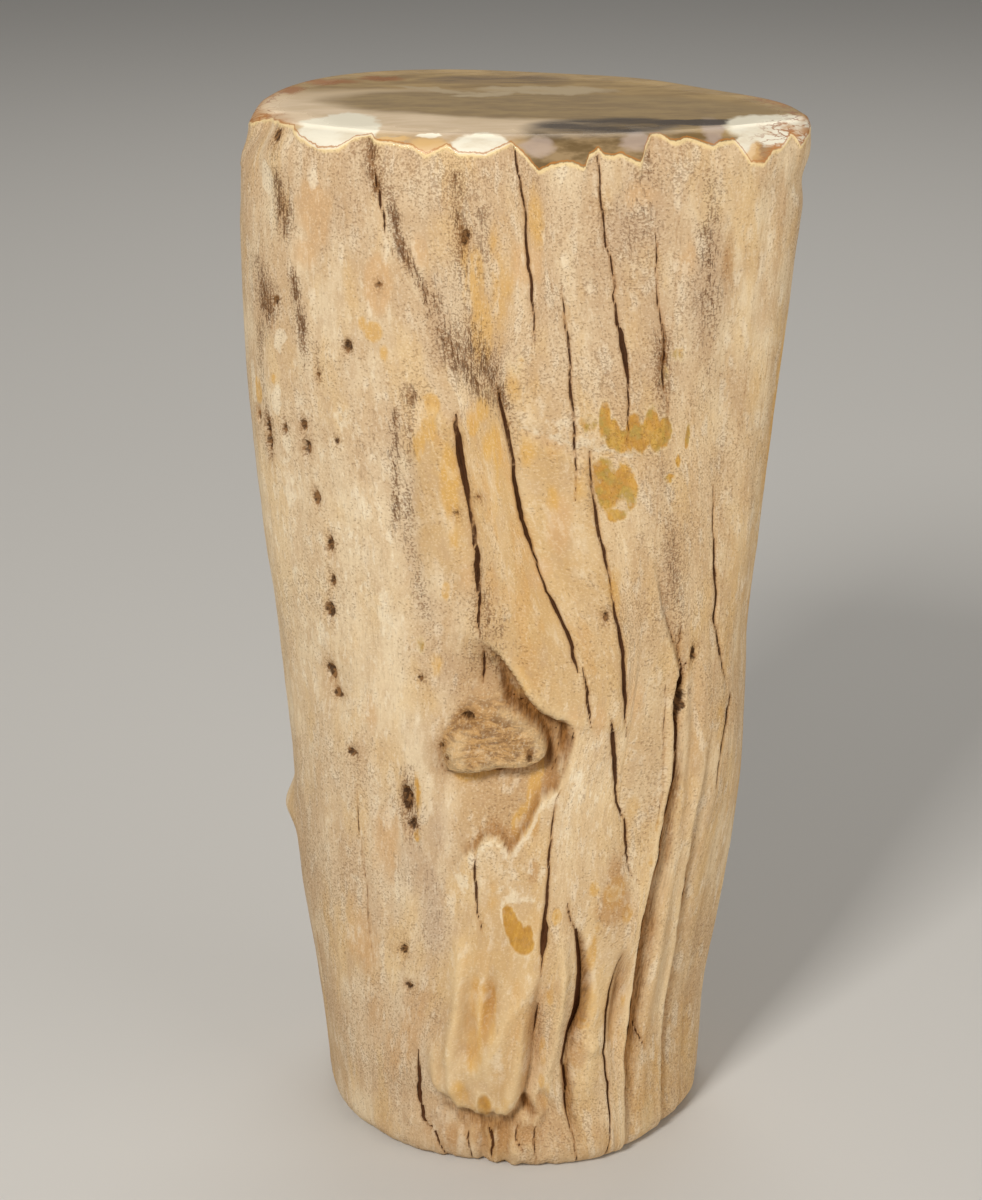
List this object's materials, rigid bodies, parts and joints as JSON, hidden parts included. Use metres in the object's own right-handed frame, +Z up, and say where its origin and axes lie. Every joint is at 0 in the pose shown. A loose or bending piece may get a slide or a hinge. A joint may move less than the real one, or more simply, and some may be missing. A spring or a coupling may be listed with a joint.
{
  "type": "petrified wood limb section",
  "caption": "Free-standing cut length of fossil limb with a weathered, cracked side, a knot, a flat sawn base and a ground, polished top.",
  "frame": {"origin": "middle of the bounding box, on the plane of the sawn base", "axes": "+Z up along the limb, front with the knot towards -Y, +X to the right seen from the front"},
  "size_m": [0.0712, 0.0578, 0.136],
  "materials": {
    "fossil_wood": "dry, matt weathered grain on the side; glossy polish on the top face"
  },
  "bodies": {
    "root": {"petrified_limb": "fossil_wood"}
  },
  "joints": []
}
